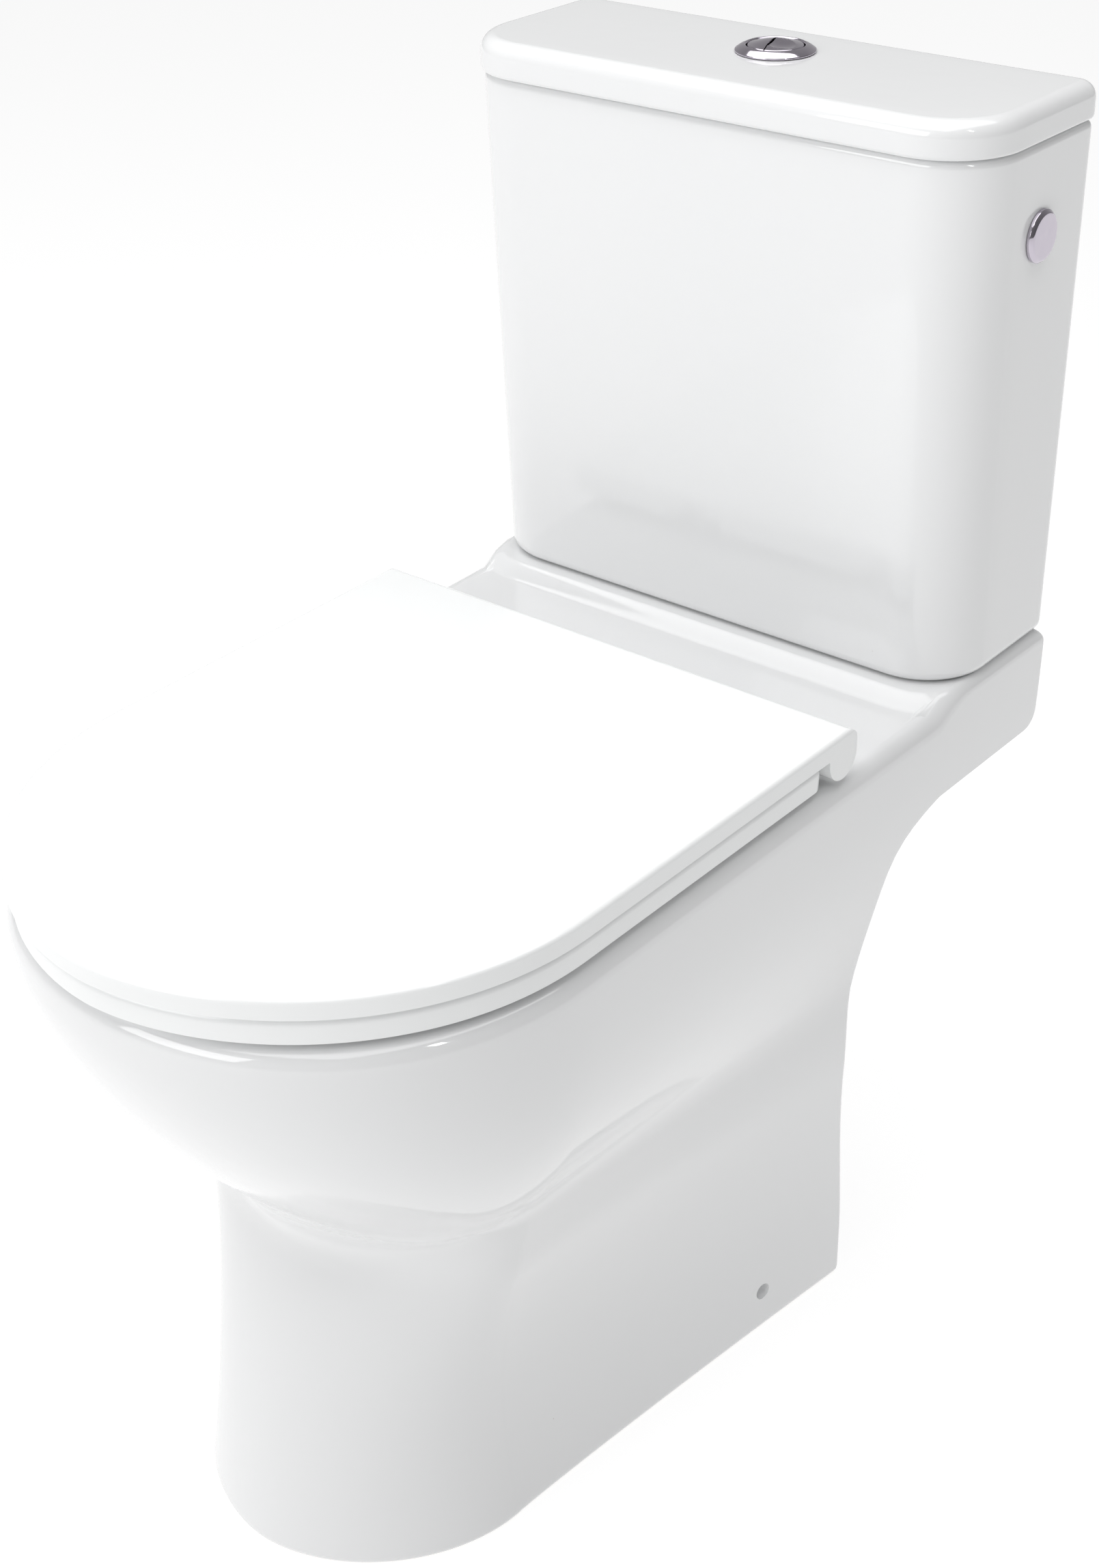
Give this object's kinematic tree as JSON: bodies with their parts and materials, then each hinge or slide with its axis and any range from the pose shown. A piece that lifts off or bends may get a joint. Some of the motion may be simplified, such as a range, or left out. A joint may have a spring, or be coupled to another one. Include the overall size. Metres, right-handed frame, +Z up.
{
  "type": "close coupled toilet",
  "caption": "Floor-standing close coupled toilet: D-shaped ceramic pan, bolted cistern, split push-button flush and soft-close seat with lid.",
  "frame": {"origin": "floor level, on the centre line, half way between the wall face of the cistern and the front tip of the seat lid", "axes": "+X to the right when facing the toilet, +Y towards the wall, +Z up"},
  "size_m": [0.3884, 0.654, 0.8127],
  "materials": {
    "glazed_ceramic": "high gloss white vitreous china glaze",
    "seat_plastic": "polished white thermoset",
    "chrome": "bright chrome plate",
    "steel": "plain stainless",
    "brass": "plain machined brass",
    "black_rubber": "matt black rubber",
    "white_rubber": "matt white soft rubber",
    "white_nylon": "moulded white plastic",
    "blue_nylon": "moulded blue plastic"
  },
  "bodies": {
    "pan_assembly": {"pan": "glazed_ceramic", "pan_basin": "glazed_ceramic", "cistern": "glazed_ceramic", "cistern_bolt_left": "brass", "cistern_bolt_right": "brass", "bolt_seal_left": "black_rubber", "bolt_seal_right": "black_rubber", "bolt_washer_left": "steel", "bolt_washer_right": "steel", "wing_nut_left": "brass", "wing_nut_right": "brass", "flush_valve_base": "white_nylon", "flush_valve_gasket": "black_rubber", "flush_valve_nut": "white_nylon", "coupling_gasket": "black_rubber", "flush_valve_tower": "white_nylon", "rocker_pin": "steel", "fill_valve": "white_nylon", "fill_valve_seal": "black_rubber", "fill_valve_nut": "brass", "float_pin": "brass", "side_hole_cap": "chrome", "side_hole_seal": "black_rubber", "side_hole_nut": "white_nylon", "hinge_post_left": "steel", "hinge_post_right": "steel", "hinge_pin_left": "steel", "hinge_pin_right": "steel", "hinge_stud_left": "steel", "hinge_stud_right": "steel", "hinge_washer_left": "black_rubber", "hinge_washer_right": "black_rubber", "hinge_nut_left": "white_nylon", "hinge_nut_right": "white_nylon"},
    "lid": {"seat_lid": "seat_plastic", "lid_buffer_left": "white_rubber", "lid_buffer_right": "white_rubber", "soft_close_damper_left": "blue_nylon", "soft_close_damper_right": "blue_nylon"},
    "ring": {"seat_ring": "seat_plastic", "ring_buffer_front_left": "white_rubber", "ring_buffer_front_right": "white_rubber", "ring_buffer_back_left": "white_rubber", "ring_buffer_back_right": "white_rubber"},
    "cistern_cover": {"cistern_lid": "glazed_ceramic", "button_collar": "chrome", "collar_nut": "white_nylon", "full_flush_spring": "steel", "half_flush_spring": "steel"},
    "full_button": {"full_flush_button": "chrome", "full_flush_rod": "white_nylon"},
    "half_button": {"half_flush_button": "chrome", "half_flush_rod": "white_nylon"},
    "flush_tube": {"overflow_tube": "white_nylon", "flush_seal": "black_rubber"},
    "full_rocker": {"full_flush_rocker": "blue_nylon"},
    "half_rocker": {"half_flush_rocker": "blue_nylon"},
    "float_assembly": {"float_arm": "blue_nylon", "float": "white_nylon", "float_screw": "brass"}
  },
  "joints": [
    {"name": "seat_lid_hinge", "type": "hinge", "parent": "pan_assembly", "child": "lid", "pos_m": [0, 0.093, 0.4644], "axis": [-1, 0, 0], "range_deg": [0, 101]},
    {"name": "seat_ring_hinge", "type": "hinge", "parent": "pan_assembly", "child": "ring", "pos_m": [0, 0.093, 0.4644], "axis": [-1, 0, 0], "range_deg": [0, 95]},
    {"name": "cistern_lid_lift", "type": "slide", "parent": "pan_assembly", "child": "cistern_cover", "axis": [0, 0, 1], "range_m": [0, 0.2]},
    {"name": "full_button_press", "type": "slide", "parent": "cistern_cover", "child": "full_button", "axis": [0, 0, -1], "range_m": [0, 0.004], "stiffness_N_per_m": 900, "springref_m": -0.002, "deforming": ["full_flush_spring"]},
    {"name": "half_button_press", "type": "slide", "parent": "cistern_cover", "child": "half_button", "axis": [0, 0, -1], "range_m": [0, 0.004], "stiffness_N_per_m": 900, "springref_m": -0.002, "deforming": ["half_flush_spring"]},
    {"name": "overflow_tube_lift", "type": "slide", "parent": "pan_assembly", "child": "flush_tube", "axis": [0, 0, 1], "range_m": [0, 0.01]},
    {"name": "full_rocker_tilt", "type": "hinge", "parent": "pan_assembly", "child": "full_rocker", "pos_m": [0, 0.27, 0.7272], "axis": [-1, 0, 0], "range_deg": [0, 28]},
    {"name": "half_rocker_tilt", "type": "hinge", "parent": "pan_assembly", "child": "half_rocker", "pos_m": [0, 0.27, 0.7272], "axis": [-1, 0, 0], "range_deg": [0, 28]},
    {"name": "float_drop", "type": "hinge", "parent": "pan_assembly", "child": "float_assembly", "pos_m": [-0.14214, 0.266, 0.7493], "axis": [0, 1, 0], "range_deg": [0, 18]}
  ],
  "couplings": [
    {"joint": "seat_ring_hinge", "follows": "seat_lid_hinge", "ratio": 0.94},
    {"joint": "overflow_tube_lift", "follows": "full_button_press", "ratio": 2.5},
    {"joint": "full_rocker_tilt", "follows": "full_button_press", "rad_per_m": 122},
    {"joint": "half_rocker_tilt", "follows": "half_button_press", "rad_per_m": 122}
  ]
}
